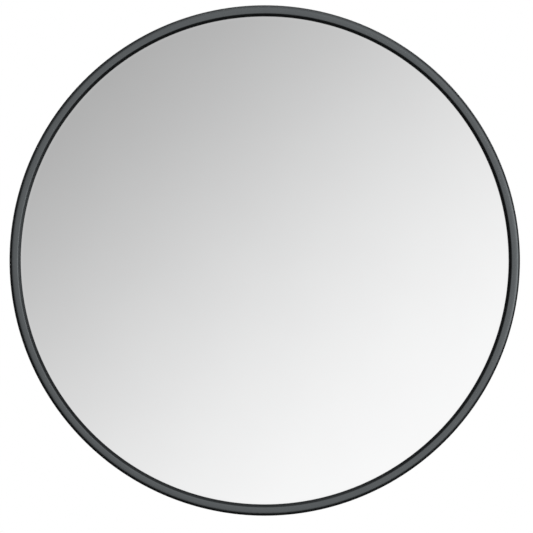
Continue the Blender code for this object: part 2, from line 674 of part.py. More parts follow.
MIRROR = finish("mirror_silver", (0.90, 0.91, 0.92), 0.03, 1.0)
TRIM_GREY = finish("trim_grey_rubber", (0.055, 0.060, 0.063), 0.45)
PLASTIC_BLACK = finish("moulded_black_plastic", (0.025, 0.026, 0.028), 0.5)
KNOB_BLACK = finish("knob_black_plastic", (0.02, 0.02, 0.022), 0.4)
STEEL_BLACK = finish("black_powder_coat", (0.03, 0.03, 0.032), 0.55)
CAST_BLACK = finish("black_casting", (0.035, 0.035, 0.037), 0.6)
STEEL_ZINC = finish("zinc_plated_steel", (0.62, 0.63, 0.64), 0.35, 1.0)
STEEL_PLATED = finish("satin_plated_tube", (0.68, 0.69, 0.70), 0.25, 1.0)
BRASS = finish("brass", (0.72, 0.55, 0.26), 0.35, 1.0)
NYLON = finish("natural_nylon", (0.78, 0.77, 0.72), 0.5)
FOAM = finish("foam_seal", (0.04, 0.04, 0.04), 0.9)

LOCK_POINT = PAN_POINT + FRONT * LOCK_STATION

wall_frame = frame_at("wall_frame", (0, 0, 0))
pan_bolt_axis = frame_at("pan_bolt_axis", PAN_POINT)
pan_washer_axis = frame_at("pan_washer_axis", PAN_POINT)
pan_knob_axis = frame_at("pan_knob_axis", PAN_POINT)
pan_axis = frame_at("pan_axis", PAN_POINT)
lock_pad_axis = frame_at("lock_pad_axis", LOCK_POINT)
lock_screw_axis = frame_at("lock_screw_axis", LOCK_POINT)
tilt_arm_axis = frame_at("tilt_arm_axis", TILT_POINT)
tilt_axis = frame_at("tilt_axis", TILT_POINT)
tilt_washer_axis = frame_at("tilt_washer_axis", TILT_POINT)
tilt_knob_axis = frame_at("tilt_knob_axis", TILT_POINT)

wall_bracket(wall_frame)
pivot_hardware("pan", pan_bolt_axis, pan_washer_axis, pan_knob_axis, DOWN, RIGHT)
outer_arm(pan_axis)
length_lock(lock_pad_axis, lock_screw_axis)
inner_arm(tilt_arm_axis)
mirror_head(tilt_axis)
pivot_hardware("tilt", tilt_axis, tilt_washer_axis, tilt_knob_axis, RIGHT, BACK)
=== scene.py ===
"""The looks of a convex security mirror on a telescopic wall arm.

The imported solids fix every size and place. Each solid is stood for by a finer mesh on the same body,
with a procedural material at real scale. Lengths are metres, +Z is up and the mirror faces -Y.
"""

import json
import math

import bmesh
import bpy
from mathutils import Matrix, Vector


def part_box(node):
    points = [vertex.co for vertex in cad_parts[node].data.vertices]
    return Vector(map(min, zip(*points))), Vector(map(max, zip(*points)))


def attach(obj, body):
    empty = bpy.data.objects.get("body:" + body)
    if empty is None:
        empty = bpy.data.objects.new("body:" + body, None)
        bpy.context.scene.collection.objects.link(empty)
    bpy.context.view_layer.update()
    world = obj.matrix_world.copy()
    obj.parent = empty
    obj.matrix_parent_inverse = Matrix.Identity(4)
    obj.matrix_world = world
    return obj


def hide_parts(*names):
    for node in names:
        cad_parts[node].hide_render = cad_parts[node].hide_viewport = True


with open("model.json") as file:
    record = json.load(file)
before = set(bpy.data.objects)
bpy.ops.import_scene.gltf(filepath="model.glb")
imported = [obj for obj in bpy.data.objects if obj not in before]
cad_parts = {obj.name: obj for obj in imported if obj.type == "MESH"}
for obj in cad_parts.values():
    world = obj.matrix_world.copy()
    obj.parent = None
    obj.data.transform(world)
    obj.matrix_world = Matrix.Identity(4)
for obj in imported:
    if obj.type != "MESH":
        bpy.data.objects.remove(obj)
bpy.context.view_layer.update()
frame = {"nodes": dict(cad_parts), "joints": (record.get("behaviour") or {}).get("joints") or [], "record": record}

MM = 0.001
UP = Vector((0, 0, 1))
RIGHT = Vector((1, 0, 0))
FRONT = Vector((0, -1, 0))
DOWN, BACK = -UP, -FRONT

BODY_OF = {node: body for body, nodes in frame["record"]["behaviour"]["bodies"].items() for node in nodes}
SLOT_OF = {row["node"]: row["material_slot"] for row in frame["record"]["subparts"]}
JOINT_AT = {joint["name"]: Vector(joint["pos_m"]) for joint in frame["joints"] if "pos_m" in joint}
PAN_POINT = JOINT_AT["pan"]
TILT_POINT = JOINT_AT["tilt"]
LOCK_POINT = Vector((0, JOINT_AT["length_knob_turn"].y, 0))

# Facets of a full turn on the finer meshes
DISC_SEGMENTS = 256
ROUND_SEGMENTS = 64


def axis_at(origin, along, across):
    """The place of a frame whose Z points along and whose X points across."""
    turn = Matrix((across, along.cross(across), along)).transposed().to_4x4()
    return Matrix.Translation(origin) @ turn


WORLD = Matrix.Identity(4)
HEAD = axis_at(TILT_POINT, FRONT, RIGHT)  # its Z is the mirror's own axis
PAN = axis_at(PAN_POINT, DOWN, RIGHT)
TILT = axis_at(TILT_POINT, RIGHT, BACK)
LOCK = axis_at(LOCK_POINT, RIGHT, BACK)


def centre_of(node):
    """The middle of a solid's box."""
    low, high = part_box(node)
    return (low + high) / 2


class Extent:
    """How far a solid reaches along an axis and out from it."""

    def __init__(self, node, axis):
        back = axis.inverted()
        points = [back @ vertex.co for vertex in frame["nodes"][node].data.vertices]
        radii = [math.hypot(point.x, point.y) for point in points]
        self.low = min(point.z for point in points)
        self.high = max(point.z for point in points)
        self.inside = min(radii)
        self.outside = max(radii)


TRIM = Extent("rim_trim", HEAD)
LENS = Extent("mirror_lens", HEAD)
COVER = Extent("back_cover", HEAD)
GAP = 0.3 * MM
DOME_CURVATURE = 500 * MM
DOME_EDGE = 219.8 * MM
LENS_WALL = 3 * MM
VIEW_RADIUS = TRIM.outside - 10 * MM  # the trim reaches in this far over the mirror
DOME_HEIGHT = DOME_CURVATURE - math.sqrt(DOME_CURVATURE**2 - DOME_EDGE**2)
FLANGE_FRONT = LENS.high - DOME_HEIGHT
FLANGE_BACK = FLANGE_FRONT - LENS_WALL


# ---------------------------------------------------------------- outlines and meshes


def arc(centre, radius, start, end, steps=8):
    """Points of an arc, in degrees, both ends included."""
    turns = (math.radians(start + (end - start) * i / steps) for i in range(steps + 1))
    return [(centre[0] + radius * math.cos(t), centre[1] + radius * math.sin(t)) for t in turns]


def smooth(value, start, end):
    """0 at start, 1 at end and beyond, and an S-curve between."""
    share = min(max((value - start) / (end - start), 0.0), 1.0)
    return share * share * (3 - 2 * share)


def lathe(profile, segments=ROUND_SEGMENTS, ring=False):
    """A profile of (radius, height) points spun about Z. A ring's profile closes on itself."""
    bm = bmesh.new()
    points = [bm.verts.new((radius, 0, height)) for radius, height in profile]
    for first, second in zip(points, points[1:]):
        bm.edges.new((first, second))
    if ring:
        bm.edges.new((points[-1], points[0]))
    bmesh.ops.spin(
        bm, geom=bm.verts[:] + bm.edges[:], cent=(0, 0, 0), axis=(0, 0, 1),
        angle=2 * math.pi, steps=segments, use_merge=True, use_duplicate=False,
    )
    bmesh.ops.remove_doubles(bm, verts=bm.verts, dist=1e-6)
    bmesh.ops.dissolve_degenerate(bm, edges=bm.edges, dist=1e-7)
    return bm


def loft(rings):
    """Quads between neighbouring rings of points, with the first and last ring filled."""
    bm = bmesh.new()
    made = [[bm.verts.new(point) for point in ring] for ring in rings]
    for near, far in zip(made, made[1:]):
        for i in range(len(near)):
            j = (i + 1) % len(near)
            bm.faces.new((near[i], near[j], far[j], far[i]))
    bm.faces.new(made[0])
    bm.faces.new(made[-1])
    return bm


def ring_of(reach, height, points=96):
    """A ring of points at one height, where reach gives the radius at each angle."""
    turns = [math.tau * i / points for i in range(points)]
    return [(reach(t) * math.cos(t), reach(t) * math.sin(t), height) for t in turns]


def circle(radius):
    """The same reach at every angle."""
    return lambda turn: radius


def hexagon(corner):
    """Six flats, with a corner on X."""
    sixth = math.pi / 3
    return lambda turn: corner * math.cos(sixth / 2) / math.cos(turn % sixth - sixth / 2)


def rounded_ring(inside, outside, low, high, edge):
    """The section of a ring with four small round edges."""
    profile = arc((outside - edge, low + edge), edge, -90, 0, 4)
    profile += arc((outside - edge, high - edge), edge, 0, 90, 4)
    profile += arc((inside + edge, high - edge), edge, 90, 180, 4)
    profile += arc((inside + edge, low + edge), edge, 180, 270, 4)
    return profile


def split_ring(inside, outside, low, high, gap, rise, edge, steps=72):
    """A ring with a narrow gap, whose ends stand apart by the rise along the axis."""
    section = rounded_ring(inside, outside, low, high, edge)
    rings = []
    for i in range(steps + 1):
        turn = gap / 2 + (math.tau - gap) * i / steps
        lift = rise * (i / steps - 0.5)
        rings.append([(r * math.cos(turn), r * math.sin(turn), h + lift) for r, h in section])
    return loft(rings)


def helper(bm):
    """A passing object for a Boolean."""
    mesh = bpy.data.meshes.new("helper")
    bmesh.ops.recalc_face_normals(bm, faces=bm.faces)
    bm.to_mesh(mesh)
    bm.free()
    made = bpy.data.objects.new("helper", mesh)
    bpy.context.scene.collection.objects.link(made)
    return made


def carved(bm, cutters):
    """The mesh with the cutters taken out of it."""
    target = helper(bm)
    tools = [helper(cutter) for cutter in cutters]
    for tool in tools:
        modifier = target.modifiers.new("cut", "BOOLEAN")
        modifier.operation = "DIFFERENCE"
        modifier.solver = "EXACT"
        modifier.object = tool
    graph = bpy.context.evaluated_depsgraph_get()
    mesh = bpy.data.meshes.new_from_object(target.evaluated_get(graph))
    result = bmesh.new()
    result.from_mesh(mesh)
    for old in (target, *tools):
        bpy.data.objects.remove(old)
    return result


def piece(bm, name, node, axis=WORLD, sharp=35, weighted=False):
    """A finished mesh that stands for a CAD node, on that node's body and in its material slot."""
    bmesh.ops.transform(bm, matrix=axis, verts=bm.verts)
    bmesh.ops.recalc_face_normals(bm, faces=bm.faces)
    mesh = bpy.data.meshes.new(name)
    bm.to_mesh(mesh)
    bm.free()
    mesh.materials.append(MATERIALS[SLOT_OF[node]])
    mesh.shade_smooth()
    mesh.set_sharp_from_angle(angle=math.radians(sharp))
    made = bpy.data.objects.new(name, mesh)
    bpy.context.scene.collection.objects.link(made)
    if weighted:
        modifier = made.modifiers.new("even_flats", "WEIGHTED_NORMAL")
        modifier.keep_sharp = True
        modifier.weight = 100
    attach(made, BODY_OF[node])
    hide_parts(node)
    return made


def softened(node, name, width, segments=3):
    """A CAD solid's own shape with its flats joined and its sharp edges rounded."""
    bm = bmesh.new()
    bm.from_mesh(frame["nodes"][node].data)
    bmesh.ops.remove_doubles(bm, verts=bm.verts, dist=2e-6)
    bmesh.ops.dissolve_limit(bm, angle_limit=math.radians(0.5), verts=bm.verts, edges=bm.edges)
    sharp = [e for e in bm.edges if e.is_manifold and e.calc_face_angle(0) > math.radians(40)]
    bmesh.ops.bevel(
        bm, geom=sharp, offset=width, offset_type="OFFSET", segments=segments, profile=0.5,
        affect="EDGES", clamp_overlap=True,
    )
    return piece(bm, name, node, weighted=True)


# ---------------------------------------------------------------- materials


class Nodes:
    """A node tree, with short ways to add to it."""

    def __init__(self, tree):
        self.tree = tree

    def join(self, socket, value):
        if isinstance(value, bpy.types.NodeSocket):
            self.tree.links.new(value, socket)
        else:
            socket.default_value = value

    def node(self, kind, inputs=None, **settings):
        made = self.tree.nodes.new(kind)
        for key, value in settings.items():
            setattr(made, key, value)
        for key, value in (inputs or {}).items():
            self.join(made.inputs[key], value)
        return made

    def math(self, operation, first, second=0.0):
        return self.node("ShaderNodeMath", {0: first, 1: second}, operation=operation).outputs["Value"]

    def vector(self, operation, first, second=(0, 0, 0), output="Vector"):
        made = self.node("ShaderNodeVectorMath", {0: first, 1: second}, operation=operation)
        return made.outputs[output]


class Surface(Nodes):
    """A Principled material and the nodes that feed it, in the object's own coordinates."""

    def __init__(self, name, **inputs):
        self.material = bpy.data.materials.new(name)
        self.material.use_nodes = True
        super().__init__(self.material.node_tree)
        self.shader = self.tree.nodes["Principled BSDF"]
        self.place = self.node("ShaderNodeTexCoord").outputs["Object"]
        self.normal = None
        for key, value in inputs.items():
            self.set(key.replace("_", " ").title().replace("Ior", "IOR"), value)

    def set(self, name, value):
        self.join(self.shader.inputs[name], value)

    def noise(self, size, detail=2.0, place=None):
        """Noise mostly between 0.35 and 0.65, with features of this size."""
        inputs = {"Vector": place or self.place, "Scale": 1 / size, "Detail": detail}
        return self.node("ShaderNodeTexNoise", inputs).outputs["Fac"]

    def cells(self, size):
        inputs = {"Vector": self.place, "Scale": 1 / size}
        return self.node("ShaderNodeTexVoronoi", inputs).outputs["Distance"]

    def stretch(self, factors):
        """Coordinates scaled along each axis, so that noise on them is drawn out."""
        return self.node("ShaderNodeMapping", {"Vector": self.place, "Scale": factors}).outputs["Vector"]

    def remap(self, value, low, high, start=0.35, end=0.65):
        inputs = {"Value": value, "From Min": start, "From Max": end, "To Min": low, "To Max": high}
        return self.node("ShaderNodeMapRange", inputs).outputs["Result"]

    def mix(self, share, first, second):
        made = self.node("ShaderNodeMix", data_type="RGBA")
        for socket, value in zip((0, 6, 7), (share, first, second)):
            if isinstance(value, tuple):
                value = (*value, 1.0)
            self.join(made.inputs[socket], value)
        return made.outputs[2]

    def bump(self, height, depth, strength=1.0):
        """Adds relief of this depth over what is there already."""
        inputs = {"Height": height, "Distance": depth, "Strength": strength}
        if self.normal:
            inputs["Normal"] = self.normal
        self.normal = self.node("ShaderNodeBump", inputs).outputs["Normal"]
        self.set("Normal", self.normal)

    def edges(self, radius):
        """Near 1 on edges sharper than the radius and 0 on flats."""
        rounded = self.node("ShaderNodeBevel", {"Radius": radius}, samples=6).outputs["Normal"]
        true = self.node("ShaderNodeNewGeometry").outputs["Normal"]
        return self.remap(self.vector("DOT_PRODUCT", rounded, true, "Value"), 1.0, 0.0, 0.82, 0.985)


def mirror_material():
    """Silver behind clear acrylic: the silver is flawless, and the acrylic has been wiped many times."""
    look = Surface("silvered_acrylic", metallic=1.0, roughness=0.0, coat_ior=1.49, coat_roughness=0.0)
    haze = look.noise(60 * MM, 3.0)
    look.set("Base Color", look.mix(look.remap(haze, 0.0, 1.0), (0.956, 0.958, 0.960), (0.964, 0.967, 0.968)))
    wiped = look.noise(6 * MM, 4.0, look.stretch((1.0, 1.0, 0.15)))
    look.set("Coat Weight", look.remap(wiped, 0.4, 0.8))
    return look.material


def trim_material():
    """Satin graphite vinyl: fine extrusion lines run round it over a soft grain, and its lip carries painted
    shade, a darker base and a weaker sheen than its crest.
    """
    look = Surface("satin_graphite_trim", ior=2.3)
    parts = look.node("ShaderNodeSeparateXYZ", {"Vector": look.place})
    flat = look.node("ShaderNodeCombineXYZ", {"X": parts.outputs["X"], "Z": parts.outputs["Z"]})
    radius = look.vector("LENGTH", flat.outputs["Vector"], output="Value")
    section = look.node("ShaderNodeCombineXYZ", {"X": radius, "Y": parts.outputs["Y"]})
    lines = look.noise(0.35 * MM, 2.0, section.outputs["Vector"])
    grain = look.noise(0.5 * MM, 4.0)
    blotches = look.noise(35 * MM, 3.0)
    colour = look.mix(look.remap(blotches, 0.0, 1.0), (0.005, 0.0055, 0.006), (0.007, 0.0077, 0.008))
    colour = look.mix(look.remap(grain, 0.0, 0.25), colour, (0.012, 0.013, 0.014))
    # painted shade: inside this radius the lip gets a near-black base colour instead of the trim's own
    unshaded_crest = look.remap(radius, 0.0, 1.0, VIEW_RADIUS + 1.4 * MM, VIEW_RADIUS + 2.2 * MM)
    look.set("Base Color", look.mix(unshaded_crest, (0.0015, 0.0016, 0.0017), colour))
    sheen = look.mix(look.remap(blotches, 0.0, 1.0), (0.86, 0.93, 0.97), (0.90, 0.97, 1.0))
    # painted shade: the lip's specular tint is dimmed against the crest's sheen
    look.set("Specular Tint", look.mix(unshaded_crest, (0.55, 0.60, 0.63), sheen))
    look.set("Roughness", look.remap(grain, 0.27, 0.35))
    look.bump(lines, 0.02 * MM, 0.4)
    look.bump(grain, 0.02 * MM, 0.5)
    return look.material


def moulded_material():
    """Black moulded plastic with a fine spark-eroded grain and a trace of settled dust."""
    look = Surface("moulded_black_plastic", specular_ior_level=0.5)
    grain = look.cells(0.9 * MM)
    fine = look.noise(0.35 * MM, 3.0)
    flow = look.noise(90 * MM, 2.0)
    colour = look.mix(look.remap(flow, 0.0, 1.0), (0.019, 0.020, 0.021), (0.024, 0.025, 0.027))
    flecks = look.remap(look.noise(1.4 * MM, 5.0), 0.0, 0.5, 0.58, 0.74)
    film = look.remap(look.noise(40 * MM, 5.0), 0.02, 0.045, 0.4, 0.7)
    dust = look.math("ADD", film, look.math("MULTIPLY", flecks, 0.3))
    look.set("Base Color", look.mix(dust, colour, (0.17, 0.165, 0.16)))
    look.set("Roughness", look.remap(flow, 0.43, 0.48))
    look.bump(grain, 0.10 * MM, 0.55)
    look.bump(fine, 0.03 * MM, 0.5)
    return look.material


def knob_material():
    """Satin black plastic, rubbed smoother where fingers hold it."""
    look = Surface("satin_black_knob", specular_ior_level=0.5)
    worn = look.edges(1.2 * MM)
    grain = look.noise(0.4 * MM, 3.0)
    patches = look.noise(9 * MM, 3.0)
    colour = look.mix(look.remap(patches, 0.0, 1.0), (0.018, 0.018, 0.019), (0.026, 0.026, 0.028))
    look.set("Base Color", look.mix(look.math("MULTIPLY", worn, 0.35), colour, (0.060, 0.060, 0.063)))
    rough = look.math("SUBTRACT", look.remap(patches, 0.36, 0.48), look.math("MULTIPLY", worn, 0.1))
    look.set("Roughness", rough)
    look.bump(grain, 0.04 * MM, 0.5)
    return look.material


def powder_material():
    """Black powder coat: orange peel, faint sparkle, and edges rubbed thin."""
    look = Surface("black_powder_coat", specular_ior_level=0.5)
    peel = look.noise(1.6 * MM, 2.0)
    speckle = look.noise(0.25 * MM, 2.0)
    large = look.noise(30 * MM, 3.0)
    patchy = look.remap(look.noise(5 * MM, 4.0), 0.0, 1.0, 0.4, 0.7)
    rubbed = look.math("MULTIPLY", look.edges(0.8 * MM), patchy)
    colour = look.mix(look.remap(large, 0.0, 1.0), (0.025, 0.025, 0.027), (0.031, 0.031, 0.033))
    colour = look.mix(look.remap(speckle, 0.0, 0.3, 0.55, 0.75), colour, (0.10, 0.10, 0.105))
    look.set("Base Color", look.mix(look.math("MULTIPLY", rubbed, 0.7), colour, (0.16, 0.16, 0.165)))
    look.set("Metallic", look.math("MULTIPLY", rubbed, 0.5))
    look.set("Roughness", look.remap(large, 0.42, 0.47))
    look.bump(peel, 0.10 * MM, 0.7)
    look.bump(speckle, 0.02 * MM, 0.4)
    return look.material


def casting_material():
    """Painted sand casting: coarse grain under black paint, bright on rubbed edges."""
    look = Surface("painted_casting", specular_ior_level=0.45)
    sand = look.noise(1.1 * MM, 6.0)
    pits = look.cells(2.4 * MM)
    patchy = look.remap(look.noise(4 * MM, 4.0), 0.0, 1.0, 0.4, 0.7)
    rubbed = look.math("MULTIPLY", look.edges(0.8 * MM), patchy)
    colour = look.mix(look.remap(sand, 0.0, 1.0), (0.022, 0.022, 0.023), (0.045, 0.045, 0.047))
    look.set("Base Color", look.mix(look.math("MULTIPLY", rubbed, 0.8), colour, (0.22, 0.22, 0.22)))
    look.set("Metallic", look.math("MULTIPLY", rubbed, 0.6))
    look.set("Roughness", look.remap(sand, 0.48, 0.66))
    look.bump(sand, 0.25 * MM, 0.6)
    look.bump(look.remap(pits, 0.0, 1.0, 0.0, 0.35), 0.08 * MM, 0.4)
    return look.material


def plated_material():
    """Satin nickel on a drawn tube: lines along the arm, with rub marks from sliding."""
    look = Surface("satin_plated_tube", metallic=1.0)
    drawn = look.noise(0.3 * MM, 3.0, look.stretch((1.0, 0.012, 1.0)))
    rubs = look.noise(1.2 * MM, 3.0, look.stretch((1.0, 0.02, 1.0)))
    smudge = look.noise(18 * MM, 3.0)
    colour = look.mix(look.remap(rubs, 0.0, 1.0, 0.5, 0.7), (0.66, 0.665, 0.67), (0.50, 0.505, 0.51))
    look.set("Base Color", look.mix(look.remap(smudge, 0.0, 0.25), colour, (0.56, 0.55, 0.53)))
    rough = look.math("ADD", look.remap(drawn, 0.20, 0.34), look.remap(smudge, 0.0, 0.08))
    look.set("Roughness", rough)
    look.bump(drawn, 0.02 * MM, 0.5)
    return look.material


def zinc_material():
    """Bright zinc with a slight blue and straw bloom."""
    look = Surface("zinc_plated_steel", metallic=1.0)
    bloom = look.noise(3.5 * MM, 3.0)
    grain = look.noise(0.3 * MM, 4.0)
    colour = look.mix(look.remap(bloom, 0.0, 1.0), (0.56, 0.585, 0.62), (0.64, 0.62, 0.55))
    look.set("Base Color", look.mix(look.remap(grain, 0.0, 0.35), colour, (0.44, 0.44, 0.44)))
    look.set("Roughness", look.remap(bloom, 0.24, 0.42))
    look.bump(grain, 0.02 * MM, 0.5)
    return look.material


def brass_material():
    """Turned brass, dulled in patches."""
    look = Surface("turned_brass", metallic=1.0)
    grain = look.noise(0.4 * MM, 4.0)
    tarnish = look.noise(4 * MM, 3.0)
    look.set("Base Color", look.mix(look.remap(tarnish, 0.0, 1.0), (0.74, 0.56, 0.27), (0.50, 0.36, 0.17)))
    look.set("Roughness", look.remap(grain, 0.26, 0.42))
    look.bump(grain, 0.02 * MM, 0.5)
    return look.material


def nylon_material():
    """Milky uncoloured nylon."""
    look = Surface("natural_nylon", subsurface_weight=0.15, subsurface_scale=1.5 * MM)
    grain = look.noise(0.5 * MM, 3.0)
    cloud = look.noise(6 * MM, 3.0)
    look.set("Base Color", look.mix(look.remap(cloud, 0.0, 1.0), (0.80, 0.78, 0.71), (0.72, 0.69, 0.60)))
    look.set("Roughness", look.remap(grain, 0.42, 0.56))
    look.bump(grain, 0.03 * MM, 0.5)
    return look.material


def foam_material():
    """Black closed-cell foam."""
    look = Surface("closed_cell_foam", specular_ior_level=0.2)
    cells = look.cells(0.7 * MM)
    look.set("Base Color", look.mix(cells, (0.020, 0.020, 0.021), (0.055, 0.055, 0.057)))
    look.set("Roughness", look.remap(cells, 0.8, 0.98, 0.0, 1.0))
    look.bump(cells, 0.3 * MM, 0.8)
    return look.material


MATERIALS = {
    "mirror_face": mirror_material(),
    "edge_trim": trim_material(),
    "foam_seal": foam_material(),
    "moulded_cover": moulded_material(),
    "knob_plastic": knob_material(),
    "powder_coat": powder_material(),
    "casting": casting_material(),
    "plated_tube": plated_material(),
    "brass_bush": brass_material(),
    "nylon": nylon_material(),
    "zinc_hardware": zinc_material(),
}


# ---------------------------------------------------------------- the mirror head


def mirror_face():
    """A spherical cap that turns out into a flat flange under the trim."""
    centre = LENS.high - DOME_CURVATURE
    steps = 72
    blend = 0.3 * MM  # half of the bend between cap and flange
    widest = math.asin((DOME_EDGE - blend) / DOME_CURVATURE)
    turns = [widest * i / steps for i in range(steps + 1)]
    inner = DOME_CURVATURE - LENS_WALL
    front = [(DOME_CURVATURE * math.sin(t), centre + DOME_CURVATURE * math.cos(t)) for t in turns]
    back = [(inner * math.sin(t), centre + inner * math.cos(t)) for t in turns]
    profile = front + [(DOME_EDGE + blend / 2, FLANGE_FRONT), (LENS.outside, FLANGE_FRONT)]
    profile += [(LENS.outside, FLANGE_BACK), (DOME_EDGE, FLANGE_BACK)] + list(reversed(back))
    mirror = piece(lathe(profile, DISC_SEGMENTS), "mirror_face", "mirror_lens", HEAD)
    mirror.visible_glossy = False  # the trim's lip then shades off as if it saw across the mirror


def edge_trim():
    """The extruded trim: a low, slightly crowned face between a sloped lip and a bull-nosed outside."""
    lip_low = FLANGE_FRONT + GAP
    slot_back = TRIM.low + 2.5 * MM
    slot_radius = LENS.outside + 0.6 * MM
    inner_round, outer_round, back_round, tuck_round = 1.6 * MM, 5.2 * MM, 1.5 * MM, 1.0 * MM
    crown = 0.03 * MM
    shoulder = TRIM.high - crown
    inner_end = VIEW_RADIUS + 3.2 * MM
    outer_end = TRIM.outside - outer_round
    profile = [(VIEW_RADIUS + 0.1 * MM, lip_low), (VIEW_RADIUS, lip_low + 0.15 * MM)]
    profile += [(VIEW_RADIUS + 0.2 * MM, lip_low + 0.5 * MM)]
    profile += arc((inner_end, shoulder - inner_round), inner_round, 150, 90, 10)
    profile += [((inner_end + outer_end) / 2, TRIM.high)]
    profile += arc((outer_end, shoulder - outer_round), outer_round, 90, 0, 16)
    profile += arc((TRIM.outside - back_round, TRIM.low + back_round), back_round, 0, -90, 8)
    profile += arc((TRIM.inside + tuck_round, TRIM.low + tuck_round), tuck_round, 270, 180, 6)
    profile += [(TRIM.inside, slot_back), (slot_radius, slot_back), (slot_radius, lip_low)]
    piece(lathe(profile, DISC_SEGMENTS, ring=True), "edge_trim", "rim_trim", HEAD, sharp=50)


def foam_seal():
    """The soft ring under the mirror's flange."""
    seal = Extent("edge_seal", HEAD)
    section = rounded_ring(seal.inside, seal.outside, seal.low, seal.high, 0.5 * MM)
    piece(lathe(section, DISC_SEGMENTS, ring=True), "foam_seal", "edge_seal", HEAD)


COVER_WALL = 2.5 * MM
RIBS = 8
RIB_RISE = 3 * MM
SHELF_DROP = 7 * MM

# Radii between which the cover's section changes, in millimetres
RIM_STEP = (214.3, 208.5)
SLOPE = (206.0, 84.0)
BOSS_STEP = (64.4, 59.6)
RIB_OUTER_END = (203.0, 195.0)
RIB_INNER_END = (77.5, 85.0)
RIB_FLANK = (4.0, 2.1)  # from a rib's middle line, in degrees


def cover_height(radius, turn):
    """Station of the cover's back surface, with its ribs and steps eased into each other."""
    rim = COVER.high - COVER_WALL
    shelf = rim - SHELF_DROP
    root = COVER.low + RIB_RISE
    reach = radius / MM
    sloped = min(max((SLOPE[0] - reach) / (SLOPE[0] - SLOPE[1]), 0.0), 1.0)
    height = rim + (shelf - rim) * smooth(reach, *RIM_STEP) + (root - shelf) * sloped
    height -= RIB_RISE * smooth(reach, *BOSS_STEP)
    pitch = math.tau / RIBS
    from_rib = math.degrees(abs(turn % pitch - pitch / 2))
    ends = smooth(reach, *RIB_OUTER_END) * smooth(reach, *RIB_INNER_END)
    return height - RIB_RISE * smooth(from_rib, *RIB_FLANK) * ends


def cover_radii():
    """From the middle to the edge, closer together where the section bends."""
    spans = ((3, 56, 4), (56, 59, 1), (59, 65, 8), (65, 76, 3), (76, 86, 8), (86, 193, 20))
    spans += ((193, 204, 8), (204, 208, 2), (208, 215, 12), (215, 225, 3))
    radii = [(low + (high - low) * i / count) * MM for low, high, count in spans for i in range(count)]
    return radii + [LENS.outside]


def back_shell():
    """The ribbed cover: a shell whose inside follows its outside, with three drain holes at its foot."""
    columns = 45 * RIBS
    turns = [math.tau * i / columns for i in range(columns)]

    def ring(radius, depth):
        return [(radius * math.cos(t), radius * math.sin(t), cover_height(radius, t) + depth) for t in turns]

    def skin(depth):
        return [ring(radius, depth) for radius in cover_radii()]

    shell = loft(skin(0.0) + skin(COVER_WALL)[::-1])
    vent_circle, vent_radius = 188 * MM, 2.5 * MM
    cutters = []
    for degrees in (261, 270, 279):
        turn = math.radians(degrees)
        drill = lathe([(0, 0), (vent_radius, 0), (vent_radius, COVER.high), (0, COVER.high)], 48)
        middle = Vector((vent_circle * math.cos(turn), vent_circle * math.sin(turn), 0))
        bmesh.ops.translate(drill, vec=middle, verts=drill.verts)
        cutters.append(drill)
    piece(carved(shell, cutters), "back_shell", "back_cover", HEAD, sharp=50)


# ---------------------------------------------------------------- knobs


def star_grip(node, name, axis):
    """A five-lobed grip on a collar, with eased edges, a dished top and a bore for its insert."""
    size = Extent(node, axis)
    start, top = size.low, size.high
    bore, bore_top, collar = 6.3 * MM, start + 16.3 * MM, 9.5 * MM
    reach, valley = size.outside, 4.4 * MM
    base = start + 4 * MM

    def star(scale, inset=0.0):
        return lambda t: scale * (reach - valley * (1 - math.cos(5 * t)) / 2) - inset

    rings = [ring_of(circle(0.4 * MM), bore_top), ring_of(circle(bore), bore_top)]
    rings += [ring_of(circle(bore), start + 0.3 * MM), ring_of(circle(bore + 0.3 * MM), start)]
    edge, root = 0.5 * MM, 1.2 * MM
    neck = arc((collar - edge, start + edge), edge, -90, 0, 4)
    neck += arc((collar + root, base - root), root, 180, 90, 6)
    rings += [ring_of(circle(radius), height) for radius, height in neck]
    lower, upper = 2.4 * MM, 4.2 * MM
    for inset, height in arc((lower, base + lower), lower, 270, 180, 8):
        rings.append(ring_of(star(1.0, inset), height))
    for inset, height in arc((upper, top - upper), upper, 180, 90, 12):
        rings.append(ring_of(star(1.0, inset), height))
    dish, dish_depth = 7.5 * MM, 0.6 * MM
    rings += [ring_of(circle(dish), top), ring_of(circle(dish - 0.5 * MM), top - 0.15 * MM)]
    rings += [ring_of(circle(dish - 1.2 * MM), top - dish_depth), ring_of(circle(0.4 * MM), top - dish_depth)]
    piece(loft(rings), name, node, axis)


def fluted_grip(node, name, axis):
    """The twelve-fluted thumbscrew head, with a chamfered collar and a recessed face."""
    size = Extent(node, axis)
    start, top = size.low, size.high
    bore, bore_top, collar = 3.3 * MM, top - 3.7 * MM, 6.5 * MM
    reach, flute = size.outside, 1.6 * MM
    base = start + 3 * MM

    def fluted(inset):
        return lambda t: reach - flute * (1 - math.cos(12 * t)) / 2 - inset

    rings = [ring_of(circle(0.3 * MM), bore_top), ring_of(circle(bore), bore_top)]
    rings += [ring_of(circle(bore), start + 0.2 * MM), ring_of(circle(bore + 0.2 * MM), start)]
    edge, root = 0.4 * MM, 0.6 * MM
    neck = arc((collar - edge, start + edge), edge, -90, 0, 4)
    neck += arc((collar + root, base - root), root, 180, 90, 4)
    rings += [ring_of(circle(radius), height) for radius, height in neck]
    lower, upper = 1.1 * MM, 1.4 * MM
    for inset, height in arc((lower, base + lower), lower, 270, 180, 6):
        rings.append(ring_of(fluted(inset), height))
    for inset, height in arc((upper, top - upper), upper, 180, 90, 8):
        rings.append(ring_of(fluted(inset), height))
    recess, floor_height = 6.5 * MM, top - 0.7 * MM
    rings += [ring_of(circle(recess), top), ring_of(circle(recess - 0.6 * MM), floor_height)]
    rings += [ring_of(circle(0.3 * MM), floor_height)]
    piece(loft(rings), name, node, axis)


# ---------------------------------------------------------------- fasteners


